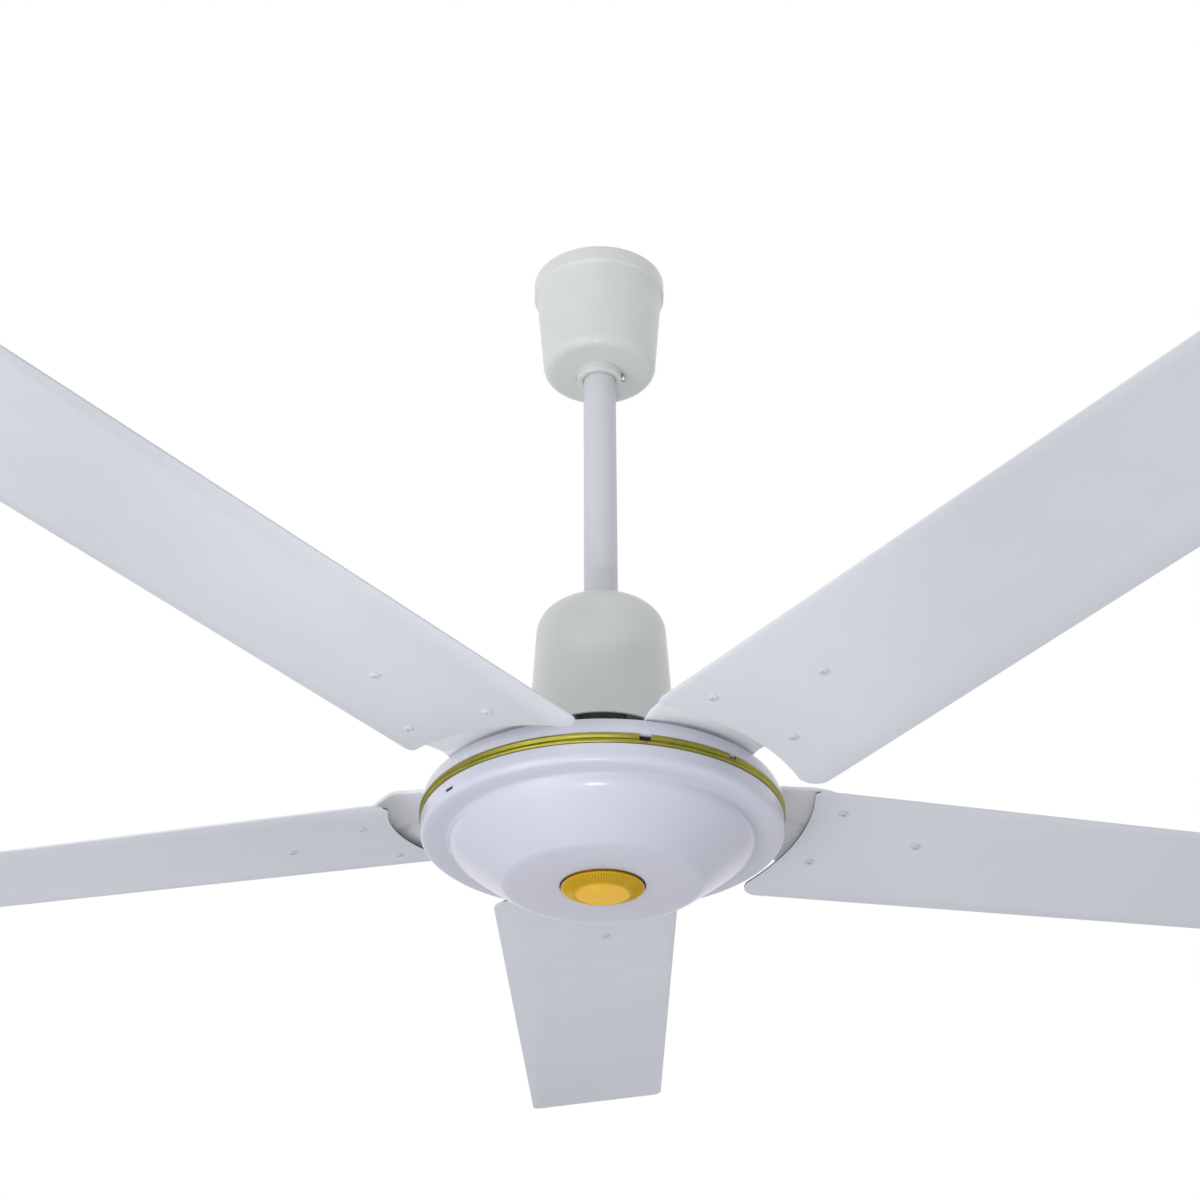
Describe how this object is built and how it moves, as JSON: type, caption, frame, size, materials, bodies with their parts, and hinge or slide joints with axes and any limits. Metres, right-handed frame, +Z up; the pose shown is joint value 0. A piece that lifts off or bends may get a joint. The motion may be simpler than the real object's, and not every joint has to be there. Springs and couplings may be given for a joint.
{
  "type": "ceiling fan",
  "caption": "Ceiling fan on a short downrod: cup canopies, round domed motor with a gold trim band and amber cap, and pitched sheet-metal blades on pressed irons.",
  "frame": {"origin": "where the ceiling hook bears on the underside of the rubber roller's groove", "axes": "+Z up, towards the ceiling, along the downrod and the motor's axis; +X along the roller's bolt; one blade points to +Y at rest"},
  "size_m": [1.3586, 1.2974, 0.5243],
  "materials": {
    "enamel_white": "white stove enamel, half gloss",
    "blade_enamel": "white enamel on thin sheet, half gloss",
    "housing_enamel": "white enamel, high gloss",
    "canopy_plastic": "moulded white plastic, slightly green, half gloss",
    "trim_gold": "bright gold-coloured strip",
    "amber_plastic": "moulded amber plastic, glossy",
    "zinc": "zinc plated",
    "steel": "machined steel",
    "copper": "varnished copper wire",
    "rubber": "black moulded rubber",
    "capacitor_case": "plain moulded case",
    "terminal_plastic": "moulded terminal strip"
  },
  "bodies": {
    "root": {"hanger_roller": "rubber"},
    "hanger": {"hanger_shackle": "zinc", "hanger_bolt": "zinc", "hanger_nut": "zinc", "hanger_split_pin": "zinc", "rod_top_bolt": "zinc", "rod_top_nut": "zinc", "rod_top_split_pin": "zinc", "downrod": "enamel_white", "rod_coupling": "steel", "rod_bottom_bolt": "zinc", "rod_bottom_nut": "zinc", "rod_bottom_split_pin": "zinc", "coupling_pin": "steel", "motor_shaft": "steel", "capacitor_tray": "zinc", "capacitor": "capacitor_case", "terminal_block": "terminal_plastic", "stator_core": "steel", "winding_upper": "copper", "winding_lower": "copper", "bearing_upper_inner": "steel", "bearing_lower_inner": "steel"},
    "ceiling_cup": {"upper_canopy": "canopy_plastic", "upper_canopy_screw": "zinc"},
    "motor_cup": {"lower_canopy": "canopy_plastic", "lower_canopy_screw": "zinc"},
    "rotor": {"top_cover": "housing_enamel", "bottom_cover": "housing_enamel", "trim_ring": "trim_gold", "centre_cap": "amber_plastic", "rotor_core": "steel", "bearing_upper_outer": "steel", "bearing_lower_outer": "steel", "blade_iron_1": "enamel_white", "blade_1": "blade_enamel", "blade_screw_1a": "enamel_white", "blade_screw_1b": "enamel_white", "blade_screw_1c": "enamel_white", "blade_iron_2": "enamel_white", "blade_2": "blade_enamel", "blade_screw_2a": "enamel_white", "blade_screw_2b": "enamel_white", "blade_screw_2c": "enamel_white", "blade_iron_3": "enamel_white", "blade_3": "blade_enamel", "blade_screw_3a": "enamel_white", "blade_screw_3b": "enamel_white", "blade_screw_3c": "enamel_white", "blade_iron_4": "enamel_white", "blade_4": "blade_enamel", "blade_screw_4a": "enamel_white", "blade_screw_4b": "enamel_white", "blade_screw_4c": "enamel_white", "blade_iron_5": "enamel_white", "blade_5": "blade_enamel", "blade_screw_5a": "enamel_white", "blade_screw_5b": "enamel_white", "blade_screw_5c": "enamel_white"}
  },
  "joints": [
    {"name": "rod_swing", "type": "hinge", "parent": "root", "child": "hanger", "pos_m": [0, 0, 0.009], "axis": [1, 0, 0], "range_deg": [-5, 5]},
    {"name": "ceiling_cup_slide", "type": "slide", "parent": "hanger", "child": "ceiling_cup", "axis": [0, 0, -1], "range_m": [0, 0.09]},
    {"name": "motor_cup_slide", "type": "slide", "parent": "hanger", "child": "motor_cup", "axis": [0, 0, 1], "range_m": [0, 0.09]},
    {"name": "rotor_spin", "type": "hinge", "parent": "hanger", "child": "rotor", "pos_m": [0, 0, -0.4426], "axis": [0, 0, 1], "continuous": true}
  ]
}
